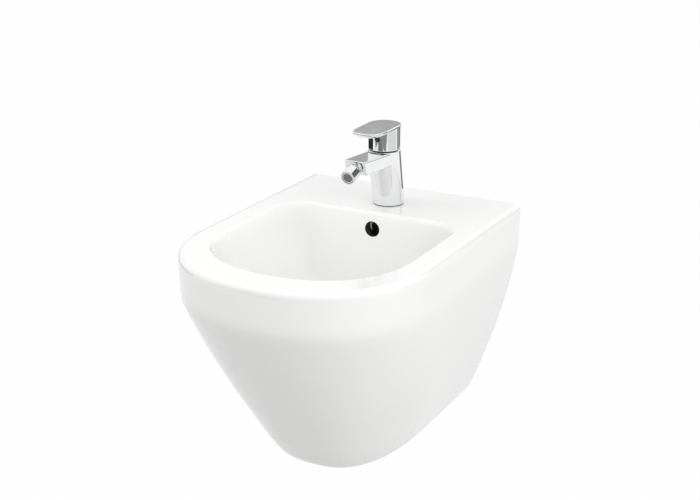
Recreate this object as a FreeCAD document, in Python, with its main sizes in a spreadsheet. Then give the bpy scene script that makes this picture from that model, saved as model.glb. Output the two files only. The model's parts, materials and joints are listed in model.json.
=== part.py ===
import FreeCAD, Part
import math
import os
import re
import Sketcher
from FreeCAD import Placement, Rotation, Vector

# Wall-hung bidet with a single-lever mixer, a swivel nozzle and a push-open waste.
# Millimetres, +Z up, wall plane at Y = 0, front towards -Y, X = 0 is the plane of symmetry.
# The origin lies on the wall plane, midway between the two fixing studs.

SIZES = [
    # Ceramic body
    ("body_width", 360), ("body_depth", 488), ("body_height", 338), ("body_straight", 315),
    ("rim_rise", 90), ("band_height", 63), ("crease_softness", 9),
    ("base_width", 192), ("base_depth", 324), ("base_straight", 130),
    ("rim_edge_radius", 9), ("base_edge_radius", 21),
    ("china_wall", 11), ("deck_thickness", 14), ("back_wall", 16),
    ("rim_width", 38), ("rim_front", 52), ("basin_back", 138), ("basin_straight", 300),
    ("basin_corner", 45), ("basin_depth", 150), ("basin_edge_radius", 8), ("floor_radius", 42),
    ("service_width", 120), ("service_height", 180), ("service_depth", 285),
    ("overflow_drop", 27), ("overflow_mouth", 24), ("overflow_bore", 18), ("overflow_wall", 6),
    ("overflow_setback", 16), ("overflow_lead", 16), ("overflow_run", 110),
    ("overflow_level", 24), ("overflow_foot", 65),
    ("collar_diameter", 84), ("collar_height", 40), ("cut_overrun", 5),
    # Wall fixings
    ("fixing_spacing", 180), ("fixing_hole", 20), ("sleeve_bore", 13), ("sleeve_collar", 28),
    ("sleeve_collar_thickness", 3), ("washer_diameter", 30), ("washer_thickness", 2.5),
    ("nut_flats", 19), ("nut_thickness", 10), ("nut_bore", 12.1), ("sleeve_clearance", 0.1),
    # Mixer body and spout, heights above the deck
    ("tap_from_wall", 85), ("tap_hole", 35), ("seal_thickness", 1.2), ("seal_diameter", 45),
    ("seal_bore", 38),
    ("column_base", 47.5), ("column_top", 48), ("column_height", 87), ("column_lean", 16),
    ("cavity_bore", 35), ("cavity_height", 31), ("cavity_forward", 2),
    ("chamber_bore", 30), ("chamber_floor", 56), ("ring_bore", 34), ("ring_seat", 75.5),
    ("inlet_spacing", 13), ("inlet_forward", 11), ("inlet_bore", 9.2), ("block_height", 12),
    ("block_play", 0.05),
    ("port_bore", 4.4), ("waterway_bore", 6.5), ("waterway_height", 75.8),
    ("spout_reach", 110), ("spout_tip_width", 33), ("spout_root_width", 36),
    ("spout_tip_rise", 4.5), ("spout_root_sink", 2), ("spout_tip_height", 21), ("spout_root_height", 19),
    # Clamp under the deck
    ("stud_diameter", 8), ("stud_back", 7), ("stud_depth", 22), ("stud_tail", 32),
    ("clamp_diameter", 44), ("clamp_slot", 28), ("clamp_slot_back", 1), ("clamp_hole", 8.6),
    ("gasket_thickness", 3), ("plate_thickness", 2.5), ("stud_nut_flats", 13),
    ("stud_nut_thickness", 6.5),
    # Cartridge
    ("port_seal_height", 1.2), ("port_seal_diameter", 7), ("cap_diameter", 29.8), ("cap_height", 4.3),
    ("disc_diameter", 23), ("disc_thickness", 3), ("disc_film", 0.05), ("slider_diameter", 18.6),
    ("slider_back", 1.9), ("carrier_diameter", 17), ("carrier_thickness", 3.6), ("carrier_play", 0.35),
    ("housing_diameter", 28), ("housing_wall", 1.5), ("housing_roof", 2.5), ("window_width", 7),
    ("window_height", 3), ("neck_diameter", 21), ("neck_bore", 17), ("neck_height", 8.5),
    ("turret_clearance", 0.05), ("turret_lift", 0.15), ("turret_flange", 23.8),
    ("turret_flange_thickness", 1.6),
    ("turret_rise", 2), ("turret_slot_front", 7), ("turret_slot_back", 6), ("stem_clearance", 0.2),
    ("pivot_height", 81), ("pin_diameter", 3.1), ("pin_play", 0.1), ("pin_length", 15.6),
    ("stem_width", 6), ("stem_tail_diameter", 4.4), ("stem_tail_height", 70.2), ("stem_neck", 3.2),
    ("stem_neck_top", 75), ("stem_top", 112),
    ("ring_clearance", 0.1), ("ring_nut_bore", 21.4), ("ring_nut_height", 11), ("ring_slot_width", 3),
    ("ring_slot_depth", 2.5), ("slip_diameter", 41), ("slip_bore", 24), ("slip_thickness", 1.2),
    # Handle
    ("handle_gap", 0.9), ("drum_diameter", 47), ("drum_top", 123), ("drum_wall", 2.5), ("drum_ceiling", 115),
    ("hub_width", 14), ("hub_bottom", 94), ("hub_play", 0.05), ("stem_top_play", 0.5),
    ("leaf_back_radius", 24.6), ("leaf_straight", 20), ("leaf_reach", 71), ("leaf_top", 125.8),
    ("leaf_edge", 3), ("leaf_thickness", 7), ("leaf_belly_inset", 6),
    ("index_height", 107), ("screw_diameter", 5), ("screw_length", 6), ("index_diameter", 9),
    ("index_thickness", 1.6),
    # Swivel nozzle, lengths along its own axis from the spout's front face
    ("nozzle_below_lip", 13), ("socket_diameter", 16), ("socket_depth", 11.2), ("nipple_seal_thickness", 1.2),
    ("nipple_seal_bore", 8), ("nipple_flange", 17.6), ("nipple_flange_thickness", 1.8), ("nipple_neck", 8.8),
    ("nipple_bore", 6), ("ball_diameter", 15.2), ("ball_centre", 11.5), ("ball_clearance", 0.15),
    ("liner_thickness", 1.15), ("liner_rear", 4.8), ("liner_front", 1.5),
    ("nozzle_diameter", 21.5), ("nozzle_rear", 5.4), ("nozzle_length", 19.9), ("nozzle_bore", 18.2),
    ("nozzle_edge", 1.2), ("nozzle_seal_ahead", 5.2), ("nozzle_seal_thickness", 1.9),
    ("nozzle_seal_bore", 11.5),
    ("aerator_wall", 0.9), ("aerator_recess", 0.8), ("aerator_plate", 2.5), ("jet_diameter", 1.5),
    ("jet_pitch", 2.9),
    # Waste, heights from the bowl's floor
    ("waste_from_wall", 250), ("waste_hole", 46), ("seat_diameter", 67), ("seat_depth", 4),
    ("flange_diameter", 64), ("flange_thickness", 3), ("waste_seal_thickness", 2), ("waste_seal_bore", 43),
    ("waste_seal_diameter", 62), ("waste_tube", 41.9), ("waste_bore", 36), ("waste_length", 80),
    ("tail_length", 22), ("relief_width", 2), ("relief_depth", 0.8),
    ("flange_step", 54), ("flange_step_depth", 3), ("slot_width", 14), ("slot_height", 12),
    ("bridge_level", 48), ("bridge_width", 6), ("bridge_height", 6), ("boss_diameter", 17),
    ("boss_height", 10),
    ("under_seal_diameter", 68), ("under_seal_thickness", 6), ("back_nut_flats", 60),
    ("back_nut_thickness", 9),
    ("thread_clearance", 0.1), ("click_diameter", 13), ("click_spigot", 10.8), ("click_height", 22),
    ("click_bore", 8.4), ("click_floor", 2), ("stem_play", 0.08), ("spring_height", 14), ("spring_wall", 1.6),
    ("spring_play", 0.3), ("plug_diameter", 59), ("plug_rim", 2.7), ("plug_crown", 1.8),
    ("plug_boss", 33), ("plug_boss_depth", 6), ("plug_socket", 4), ("plug_seat_gap", 0.3),
    ("plug_seal_width", 53),
]

# Pure proportions and angles
SIDE_BOW_SHARE = 0.47
FRONT_BOW_SHARE = 0.19
BODY_ROUND_SHARE = 0.87
BASE_ROUND_SHARE = 0.74
BASIN_ROUND_SHARE = 0.89
FLOOR_ROUND_SHARE = 1.0
BOWL_ROUND_SHARE = 0.83
CORNER_LIMIT_SHARE = 0.97
LEAF_ROUND_SHARE = 0.6
# Heights of the sections that the body, its hollow and the bowl are drawn through
BAND_SHARES = [0.4, 0.7, 0.88, 1.0, 1.12, 1.3, 1.7]
FLANK_SHARES = [0.35, 0.55, 0.75]
HOLLOW_BAND_SHARES = [0.6, 1.0, 1.5]
HOLLOW_FLANK_SHARES = [0.4, 0.65]
BOWL_SHARES = [0.25, 0.45, 0.63, 0.78, 0.89, 0.96, 1.0]
NOZZLE_FALL = 16.5
LIFT_RELIEF = 23.0
RIM_LEAD = 14.0
RIGHT_ANGLE = 90.0
FULL_TURN = 360.0
CURVE_STEPS = 16
QUARTER_STEPS = 4
JET_COUNTS = [1, 6, 12]

doc = FreeCAD.newDocument("bidet")
dims = doc.addObject("Spreadsheet::Sheet", "dims")
for row, (alias, value) in enumerate(SIZES, start=1):
    dims.set("A%d" % row, alias)
    dims.set("B%d" % row, str(value))
    dims.setAlias("B%d" % row, alias)
doc.recompute()
ALIASES = {alias for alias, value in SIZES}
NODES = []


def size(alias):
    return float(dims.get(alias))


def bind(text):
    def prefixed(word):
        return "dims." + word.group(0) if word.group(0) in ALIASES else word.group(0)
    return re.sub(r"[a-z_]+", prefixed, text)


def amount(text):
    return float(dims.evalExpression(bind(text)))


# Frames that groups of pieces are set out in: the deck, the cartridge's axis and the waste's axis
FRAMES = {
    "wall": ("0", "0", "0"),
    "deck": ("0", "-tap_from_wall", "rim_rise"),
    "cartridge": ("0", "-tap_from_wall - column_lean", "rim_rise"),
    "waste": ("0", "-waste_from_wall", "rim_rise - basin_depth"),
}


def set_place(obj, frame, at=("0", "0", "0"), rotation=None):
    if rotation:
        obj.Placement = Placement(Vector(), rotation)
    for axis, base, shift in zip("xyz", FRAMES[frame], at):
        obj.setExpression("Placement.Base." + axis, bind("%s + %s" % (base, shift)))
    return obj


def nozzle_placement():
    fall = math.radians(NOZZLE_FALL)
    lip = amount("column_height + spout_tip_rise")
    y = -size("tap_from_wall") - size("spout_reach") + size("nozzle_below_lip") * math.sin(fall)
    z = size("rim_rise") + lip - size("nozzle_below_lip") * math.cos(fall)
    return Placement(Vector(0, y, z), Rotation(Vector(1, 0, 0), RIGHT_ANGLE + NOZZLE_FALL))


def node(obj, name):
    obj.Label = name
    NODES.append(obj)
    return obj


def solid(name, shape):
    obj = doc.addObject("Part::Feature", name)
    obj.Shape = shape
    return obj


ALONG_X = Rotation(Vector(0, 1, 0), RIGHT_ANGLE)
TO_FRONT = Rotation(Vector(1, 0, 0), RIGHT_ANGLE)


def cylinder(name, diameter, height, frame, at, rotation=None):
    obj = doc.addObject("Part::Cylinder", name)
    obj.setExpression("Radius", bind("(%s) / 2" % diameter))
    obj.setExpression("Height", bind(height))
    return set_place(obj, frame, at, rotation)


def box(name, spans, frame):
    obj = doc.addObject("Part::Box", name)
    for side, (low, high) in zip(("Length", "Width", "Height"), spans):
        obj.setExpression(side, bind("(%s) - (%s)" % (high, low)))
    return set_place(obj, frame, ["(%s)" % low for low, high in spans])


def cut(name, base, tools):
    tool = tools[0]
    if len(tools) > 1:
        tool = doc.addObject("Part::MultiFuse", name + "_tools")
        tool.Shapes = tools
    obj = doc.addObject("Part::Cut", name)
    obj.Base = base
    obj.Tool = tool
    return obj


def fuse(name, shapes):
    obj = doc.addObject("Part::MultiFuse", name)
    obj.Shapes = shapes
    return obj


def pair(name, source):
    twin = doc.addObject("Part::Mirroring", name + "_twin")
    twin.Source = source
    twin.Normal = Vector(1, 0, 0)
    both = doc.addObject("Part::Compound", name)
    both.Links = [source, twin]
    return both


def origin_plane(body, role):
    return [feature for feature in body.Origin.OriginFeatures if feature.Role == role][0]


def sketch_in(body, name, role, ahead="0"):
    sketch = body.newObject("Sketcher::SketchObject", name)
    sketch.AttachmentSupport = (origin_plane(body, role), [""])
    sketch.MapMode = "FlatFace"
    if ahead != "0":
        sketch.setExpression("AttachmentOffset.Base.z", bind(ahead))
    return sketch


def place_point(sketch, geometry, point, across, up):
    for kind, text, axis in (("DistanceX", across, -2), ("DistanceY", up, -1)):
        if text == "0":
            sketch.addConstraint(Sketcher.Constraint("PointOnObject", geometry, point, axis))
            continue
        index = sketch.addConstraint(Sketcher.Constraint(kind, -1, 1, geometry, point, amount(text)))
        sketch.setExpression("Constraints[%d]" % index, bind(text))


def draw_polygon(sketch, points):
    corners = [Vector(amount(across), amount(up), 0) for across, up in points]
    count = len(corners)
    for i in range(count):
        sketch.addGeometry(Part.LineSegment(corners[i], corners[(i + 1) % count]), False)
    for i in range(count):
        sketch.addConstraint(Sketcher.Constraint("Coincident", i, 2, (i + 1) % count, 1))
    for i, (across, up) in enumerate(points):
        place_point(sketch, i, 1, across, up)


def draw_circle(sketch, diameter, across="0", up="0"):
    centre = Vector(amount(across), amount(up), 0)
    index = sketch.addGeometry(Part.Circle(centre, Vector(0, 0, 1), amount(diameter) / 2), False)
    place_point(sketch, index, 3, across, up)
    rule = sketch.addConstraint(Sketcher.Constraint("Diameter", index, amount(diameter)))
    sketch.setExpression("Constraints[%d]" % rule, bind(diameter))


def new_body(name, frame):
    body = doc.addObject("PartDesign::Body", name)
    return set_place(body, frame)


def turned(name, frame, points):
    body = new_body(name, frame)
    sketch = sketch_in(body, name + "_profile", "XZ_Plane")
    draw_polygon(sketch, points)
    spin = body.newObject("PartDesign::Revolution", name + "_spin")
    spin.Profile = sketch
    spin.ReferenceAxis = (sketch, ["V_Axis"])
    spin.Angle = FULL_TURN
    return body


def ring(name, frame, outer, inner, low, high):
    inside = "(%s) / 2" % inner
    outside = "(%s) / 2" % outer
    return turned(name, frame, [(inside, low), (outside, low), (outside, high), (inside, high)])


def hexagon(name, frame, flats, bore, low, thickness, at=("0", "0")):
    # A nut: a six-sided pad with a round hole
    body = new_body(name, frame)
    sketch = sketch_in(body, name + "_outline", "XY_Plane", low)
    half = "(%s) / 2" % flats
    reach = "(%s) / sqrt(3)" % flats
    corners = []
    for turn in range(6):
        along = ("+", "+", "-", "-", "-", "+")[turn]
        if turn in (0, 3):
            corners.append(("%s + %s%s" % (at[0], along, reach), at[1]))
        else:
            side = "+" if turn in (1, 2) else "-"
            corners.append(("%s + %s%s / 2" % (at[0], along, reach), "%s + %s%s" % (at[1], side, half)))
    draw_polygon(sketch, corners)
    draw_circle(sketch, bore, at[0], at[1])
    pad = body.newObject("PartDesign::Pad", name + "_pad")
    pad.Profile = sketch
    pad.setExpression("Length", bind(thickness))
    return body


# Ceramic body

def front_curve(level, half, shoulder, front, round_share):
    points = []
    for i in range(CURVE_STEPS + 1):
        turn = math.pi * i / CURVE_STEPS
        across = math.cos(turn)
        along = math.sin(turn)
        x = half * math.copysign(abs(across) ** round_share, across)
        y = -shoulder - (front - shoulder) * abs(along) ** round_share
        points.append(Vector(x, y, level))
    curve = Part.BSplineCurve()
    curve.interpolate(Points=points)
    return curve.toShape()


def corner_arc(level, x, y, radius, side, start):
    # Quarter arc of a rear corner; start says whether it begins on the back edge
    nick = radius * (1 - math.sqrt(0.5))
    on_back = Vector(side * (x - radius), y, level)
    middle = Vector(side * (x - nick), y - nick, level)
    on_side = Vector(side * x, y - radius, level)
    ends = (on_back, on_side) if start == "back" else (on_side, on_back)
    return Part.Arc(ends[0], middle, ends[1]).toShape()


def d_outline(level, half, back, shoulder, front, round_share, corner):
    def at(x, y):
        return Vector(x, y, level)
    edges = [Part.makeLine(at(corner - half, -back), at(half - corner, -back))]
    if corner > 0:
        edges.append(corner_arc(level, half, -back, corner, 1, "back"))
    edges.append(Part.makeLine(at(half, -back - corner), at(half, -shoulder)))
    edges.append(front_curve(level, half, shoulder, front, round_share))
    edges.append(Part.makeLine(at(-half, -shoulder), at(-half, -back - corner)))
    if corner > 0:
        edges.append(corner_arc(level, half, -back, corner, -1, "side"))
    return Part.Wire(edges)


def arc_inset(radius, depth):
    if depth >= radius:
        return 0.0
    return radius - math.sqrt(radius ** 2 - (radius - depth) ** 2)


def between(first, last, share):
    return first + (last - first) * share


def bowed(first, last, bow_share, fall):
    return between(first, last, (1 - bow_share) * fall + bow_share * fall * fall)


def body_section(depth, inset, back):
    # Upright band below the rim, a soft crease, then flanks that draw in to the small base
    height = size("body_height")
    below = depth - size("band_height")
    drawn = (below + math.sqrt(below ** 2 + size("crease_softness") ** 2)) / 2
    fall = drawn / (height - size("band_height"))
    edge = arc_inset(size("rim_edge_radius"), depth) + arc_inset(size("base_edge_radius"), height - depth)
    half = bowed(size("body_width") / 2, size("base_width") / 2, SIDE_BOW_SHARE, fall) - inset - edge
    front = bowed(size("body_depth"), size("base_depth"), FRONT_BOW_SHARE, fall) - inset - edge
    shoulder = between(size("body_straight"), size("base_straight"), fall)
    round_share = between(BODY_ROUND_SHARE, BASE_ROUND_SHARE, fall)
    return d_outline(size("rim_rise") - depth, half, back, shoulder, front, round_share, 0)


def quarter(radius, first=0.0):
    # Depths of even steps round a quarter circle
    lead = math.radians(first)
    turns = [between(lead, math.pi / 2, i / QUARTER_STEPS) for i in range(QUARTER_STEPS + 1)]
    return [radius * (math.cos(lead) - math.cos(turn)) for turn in turns]


def china_outer():
    height = size("body_height")
    band = size("band_height")
    depths = quarter(size("rim_edge_radius"))
    depths += [band * share for share in BAND_SHARES]
    depths += [between(band, height, share) for share in FLANK_SHARES]
    depths += [height - depth for depth in reversed(quarter(size("base_edge_radius")))]
    behind = -size("cut_overrun")
    return Part.makeLoft([body_section(depth, 0, behind) for depth in depths], True, False)


def basin_sections(grow, edge):
    # The bowl's plan shrinks with depth to a round flat floor about the waste
    lead = math.radians(RIM_LEAD)
    depth_all = size("basin_depth")
    floor = size("floor_radius")
    centre = size("waste_from_wall")
    rim_half = size("body_width") / 2 - size("rim_width")
    rim_end = size("body_depth") - size("rim_front")
    depths = quarter(edge, RIM_LEAD) if edge else [0.0]
    depths += [depth_all * share for share in BOWL_SHARES]
    wires = []
    for depth in depths:
        reach = depth / depth_all
        power = 2 / BOWL_ROUND_SHARE
        wide = (1 - reach ** power) ** (1 / power)
        swell = grow + (arc_inset(edge, depth + edge * (1 - math.cos(lead))) if edge else 0)
        half = between(floor, rim_half, wide) + swell
        back = between(centre - floor, size("basin_back"), wide) - swell
        front = between(centre + floor, rim_end, wide) + swell
        shoulder = between(centre, size("basin_straight"), wide)
        corner = between(floor, size("basin_corner"), wide) + swell
        corner = min(corner, (shoulder - back) * CORNER_LIMIT_SHARE)
        round_share = between(FLOOR_ROUND_SHARE, BASIN_ROUND_SHARE, wide)
        level = size("rim_rise") - depth * (depth_all + grow) / depth_all
        wires.append(d_outline(level, half, back, shoulder, front, round_share, corner))
    return wires


def china_basin():
    wires = basin_sections(0, size("basin_edge_radius"))
    above = Part.Face(wires[0]).extrude(Vector(0, 0, size("cut_overrun")))
    return Part.makeLoft(wires, True, False).fuse(above)


def duct(diameter):
    # Overflow way: in at the mouth, down behind the bowl and forward to the waste
    mouth = size("rim_rise") - size("overflow_drop")
    foot = size("rim_rise") - size("basin_depth") - size("overflow_level")
    behind = size("basin_back") - size("overflow_setback")
    points = [
        Vector(0, -size("basin_back"), mouth),
        Vector(0, -behind, mouth),
        Vector(0, -behind, size("rim_rise") - size("overflow_run")),
        Vector(0, size("overflow_foot") - size("waste_from_wall"), foot),
        Vector(0, -size("waste_from_wall"), foot),
    ]
    radius = diameter / 2
    runs = []
    for first, last in zip(points, points[1:]):
        runs.append(Part.makeCylinder(radius, first.distanceToPoint(last), first, last - first))
    bends = [Part.makeSphere(radius, point) for point in points[1:-1]]
    return runs[0].fuse(runs[1:] + bends)


def china_hollow():
    # The casting is hollow: its outer skin, deck, bowl, waste collar and overflow way keep their walls
    height = size("body_height")
    band = size("band_height")
    wall = size("china_wall")
    depths = [size("deck_thickness")] + [band * share for share in HOLLOW_BAND_SHARES]
    depths += [between(band, height, share) for share in HOLLOW_FLANK_SHARES] + [height - wall]
    space = Part.makeLoft([body_section(depth, wall, size("back_wall")) for depth in depths], True, False)
    bowl = Part.makeLoft(basin_sections(wall, 0), True, False)
    collar_top = Vector(0, -size("waste_from_wall"), size("rim_rise") - size("basin_depth"))
    collar = Part.makeCylinder(size("collar_diameter") / 2, size("collar_height"), collar_top,
                               Vector(0, 0, -1))
    way = duct(size("overflow_bore") + 2 * size("overflow_wall"))
    return space.cut(bowl).cut(collar).cut(way)


def make_ceramic():
    shell = cut("china_shell", solid("china_outer", china_outer()), [solid("china_basin", china_basin())])
    shell = cut("china_casting", shell, [solid("china_hollow", china_hollow())])
    over = "cut_overrun"
    bottom = "rim_rise - body_height"
    below = bottom + " - " + over
    wide = ("-service_width / 2", "service_width / 2")
    tools = [
        box("wall_trim", [("-body_width", "body_width"), ("0", "2 * " + over), (below, "rim_rise + " + over)],
            "wall"),
        box("service_back", [wide, ("-back_wall - " + over, over), (below, bottom + " + service_height")],
            "wall"),
        box("service_base", [wide, ("-service_depth", over), (below, bottom + " + china_wall + " + over)],
            "wall"),
        cylinder("tap_hole_tool", "tap_hole", "deck_thickness + 2 * " + over, "deck",
                 ("0", "0", "-deck_thickness - " + over)),
        cylinder("waste_hole_tool", "waste_hole", "collar_height + 2 * " + over, "waste",
                 ("0", "0", "-collar_height - " + over)),
        cylinder("waste_seat_tool", "seat_diameter", "seat_depth + " + over, "waste",
                 ("0", "0", "-seat_depth")),
        cylinder("overflow_mouth_tool", "overflow_mouth", "overflow_setback + overflow_lead", "wall",
                 ("0", "overflow_setback - basin_back", "rim_rise - overflow_drop"), TO_FRONT),
        solid("overflow_way", duct(size("overflow_bore"))),
    ]
    for side in ("-", ""):
        tools.append(cylinder("fixing_hole_tool", "fixing_hole", "back_wall + 2 * " + over, "wall",
                              (side + "fixing_spacing / 2", over, "0"), TO_FRONT))
    node(cut("ceramic_body", shell, tools), "ceramic_body")


# Wall fixings: bush, washer and nut on each stud, set out along the stud from the wall plane

def along_stud(piece):
    for axis, text in zip("xyz", ("fixing_spacing / 2", "0", "0")):
        piece.setExpression("Placement.Base." + axis, bind(text))
    piece.Placement = Placement(piece.Placement.Base, TO_FRONT)
    return piece


def make_wall_fixings():
    bore = "sleeve_bore / 2"
    body = "fixing_hole / 2 - sleeve_clearance"
    collar = "sleeve_collar / 2"
    collar_end = "back_wall + sleeve_collar_thickness"
    washer_end = collar_end + " + washer_thickness"
    sleeve = turned("wall_sleeve", "wall", [
        (bore, "0"), (body, "0"), (body, "back_wall"), (collar, "back_wall"), (collar, collar_end),
        (bore, collar_end)])
    washer = ring("wall_washer", "wall", "washer_diameter", "sleeve_bore", collar_end, washer_end)
    nut = hexagon("wall_nut", "wall", "nut_flats", "nut_bore", washer_end, "nut_thickness")
    for piece, name in ((sleeve, "wall_sleeves"), (washer, "wall_washers"), (nut, "wall_nuts")):
        node(pair(name, along_stud(piece)), name)


# Mixer: casting, base seal and the clamp that holds it to the deck

def rectangle(half, low, high):
    return [("-" + half, low), (half, low), (half, high), ("-" + half, high)]


def make_mixer_casting():
    body = new_body("mixer_casting", "deck")
    foot = sketch_in(body, "column_foot", "XY_Plane", "seal_thickness")
    draw_circle(foot, "column_base")
    head = sketch_in(body, "column_head", "XY_Plane", "column_height")
    draw_circle(head, "column_top", "0", "-column_lean")
    column = body.newObject("PartDesign::AdditiveLoft", "column")
    column.Profile = foot
    column.Sections = [head]
    root_top = "column_height - spout_root_sink"
    tip_top = "column_height + spout_tip_rise"
    root = sketch_in(body, "spout_root", "XZ_Plane", "column_lean")
    draw_polygon(root, rectangle("spout_root_width / 2", root_top + " - spout_root_height", root_top))
    tip = sketch_in(body, "spout_tip", "XZ_Plane", "spout_reach")
    draw_polygon(tip, rectangle("spout_tip_width / 2", tip_top + " - spout_tip_height", tip_top))
    spout = body.newObject("PartDesign::AdditiveLoft", "spout")
    spout.Profile = root
    spout.Sections = [tip]
    return body


def face_trim():
    # Everything ahead of the spout's leaning front face
    place = nozzle_placement()
    wide = size("spout_root_width")
    block = Part.makeBox(wide, 2 * wide, wide, Vector(-wide / 2, -wide, 0))
    trim = solid("spout_face_trim", block)
    trim.Placement = place
    return trim


def nozzle_cylinder(name, diameter, start, length):
    shape = Part.makeCylinder(diameter / 2, length, Vector(0, 0, start))
    obj = solid(name, shape)
    obj.Placement = nozzle_placement()
    return obj


BLOCK_LOW = "seal_thickness + cavity_height"
BLOCK_TOP = BLOCK_LOW + " + block_height"


def make_mixer_body():
    over = "cut_overrun"
    tools = [
        face_trim(),
        cylinder("cavity_tool", "cavity_bore", BLOCK_TOP + " + " + over, "deck",
                 ("0", "-cavity_forward", "-" + over)),
        cylinder("chamber_tool", "chamber_bore", "column_height - chamber_floor + " + over, "cartridge",
                 ("0", "0", "chamber_floor")),
        cylinder("ring_tool", "ring_bore", "column_height - ring_seat + " + over, "cartridge",
                 ("0", "0", "ring_seat")),
        cylinder("waterway_tool", "waterway_bore", "spout_reach - socket_depth - column_lean", "cartridge",
                 ("0", "0", "waterway_height"), TO_FRONT),
        cylinder("stud_tool", "stud_diameter", "stud_depth + " + over, "deck",
                 ("0", "stud_back", BLOCK_LOW + " - " + over)),
        nozzle_cylinder("socket_tool", size("socket_diameter"), -size("socket_depth"), size("socket_depth")),
    ]
    deep = "chamber_floor - (%s) + %s" % (BLOCK_LOW, over)
    for side in ("-", ""):
        tools.append(cylinder("port_tool", "port_bore", deep, "deck",
                              (side + "inlet_spacing / 2", "-inlet_forward", BLOCK_LOW)))
    node(cut("mixer_body", make_mixer_casting(), tools), "mixer_body")
    node(ring("base_seal", "deck", "seal_diameter", "seal_bore", "0", "seal_thickness"), "base_seal")


def make_inlet_block():
    # Brass disc at the top of the cavity, held by the stud, with a threaded way for each supply hose
    low = BLOCK_LOW + " - cut_overrun"
    deep = "block_height + 2 * cut_overrun"
    blank = cylinder("block_blank", "cavity_bore - 2 * block_play", "block_height", "deck",
                     ("0", "-cavity_forward", BLOCK_LOW))
    tools = [cylinder("block_stud_hole", "stud_diameter", deep, "deck", ("0", "stud_back", low))]
    for side in ("-", ""):
        tools.append(cylinder("inlet_tool", "inlet_bore", deep, "deck",
                              (side + "inlet_spacing / 2", "-inlet_forward", low)))
    node(cut("inlet_block", blank, tools), "inlet_block")


def horseshoe(name, top, thickness):
    # Round plate, open at the front for the two supply hoses, with a hole for the stud
    low = "-deck_thickness - %s - %s" % (top, thickness)
    disc = cylinder(name + "_disc", "clamp_diameter", thickness, "deck", ("0", "0", low))
    slot = box(name + "_slot", [("-clamp_slot / 2", "clamp_slot / 2"), ("-clamp_diameter", "clamp_slot_back"),
                                (low + " - cut_overrun", "0")], "deck")
    hole = cylinder(name + "_hole", "clamp_hole", thickness + " + 2 * cut_overrun", "deck",
                    ("0", "stud_back", low + " - cut_overrun"))
    return node(cut(name, disc, [slot, hole]), name)


def make_clamp():
    horseshoe("clamp_gasket", "0", "gasket_thickness")
    horseshoe("clamp_plate", "gasket_thickness", "plate_thickness")
    under = "-deck_thickness - gasket_thickness - plate_thickness"
    nut = hexagon("clamp_nut", "deck", "stud_nut_flats", "stud_diameter", under + " - stud_nut_thickness",
                  "stud_nut_thickness", ("0", "stud_back"))
    node(nut, "clamp_nut")
    top = BLOCK_LOW + " + stud_depth"
    stud = cylinder("mounting_stud", "stud_diameter", top + " + deck_thickness + stud_tail", "deck",
                    ("0", "stud_back", "-deck_thickness - stud_tail"))
    node(stud, "mounting_stud")


# Cartridge, on its own upright axis above the chamber's floor

CAP_LOW = "chamber_floor + port_seal_height"
DISC_LOW = CAP_LOW + " + cap_height"
SLIDER_LOW = DISC_LOW + " + disc_thickness + disc_film"
CARRIER_LOW = SLIDER_LOW + " + disc_thickness"
TURRET_LOW = CARRIER_LOW + " + carrier_thickness + turret_lift"


def port_holes(name, low, high):
    height = "(%s) - (%s) + 2 * cut_overrun" % (high, low)
    places = [(side + "inlet_spacing / 2", "-inlet_forward", low + " - cut_overrun") for side in ("-", "")]
    return [cylinder(name + "_port", "port_bore", height, "deck", place) for place in places]


def make_cartridge_discs():
    seal = ring("port_seal", "deck", "port_seal_diameter", "port_bore", "chamber_floor", CAP_LOW)
    seal.setExpression("Placement.Base.x", bind("inlet_spacing / 2"))
    seal.setExpression("Placement.Base.y", bind("-tap_from_wall - inlet_forward"))
    node(pair("port_seals", seal), "port_seals")
    cap = cylinder("cap_blank", "cap_diameter", "cap_height", "cartridge", ("0", "0", CAP_LOW))
    node(cut("cartridge_base", cap, port_holes("cap", CAP_LOW, DISC_LOW)), "cartridge_base")
    disc = cylinder("disc_blank", "disc_diameter", "disc_thickness", "cartridge", ("0", "0", DISC_LOW))
    node(cut("fixed_disc", disc, port_holes("disc", DISC_LOW, DISC_LOW + " + disc_thickness")), "fixed_disc")
    slider = cylinder("moving_disc", "slider_diameter", "disc_thickness", "cartridge",
                      ("0", "slider_back", SLIDER_LOW))
    node(slider, "moving_disc")
    carrier = cylinder("carrier_blank", "carrier_diameter", "carrier_thickness", "cartridge",
                       ("0", "slider_back", CARRIER_LOW))
    half_play = "stem_tail_diameter / 2 + carrier_play"
    half_width = "stem_width / 2 + stem_clearance"
    deep = (CARRIER_LOW + " - cut_overrun", CARRIER_LOW + " + carrier_thickness + cut_overrun")
    slot = box("carrier_slot", [("-(%s)" % half_width, half_width), ("-(%s)" % half_play, half_play), deep],
               "cartridge")
    node(cut("disc_carrier", carrier, [slot]), "disc_carrier")


def make_cartridge_housing():
    outside = "housing_diameter / 2"
    inside = "housing_diameter / 2 - housing_wall"
    roof = "ring_seat - housing_roof"
    neck_top = "ring_seat + neck_height"
    shell = turned("housing_shell", "cartridge", [
        (inside, DISC_LOW), (outside, DISC_LOW), (outside, "ring_seat"), ("neck_diameter / 2", "ring_seat"),
        ("neck_diameter / 2", neck_top), ("neck_bore / 2", neck_top), ("neck_bore / 2", roof),
        (inside, roof)])
    sill = DISC_LOW + " + disc_thickness"
    windows = box("housing_windows", [("-window_width / 2", "window_width / 2"),
                                      ("-housing_diameter", "housing_diameter"),
                                      (sill, sill + " + window_height")], "cartridge")
    node(cut("cartridge_housing", shell, [windows]), "cartridge_housing")


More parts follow.
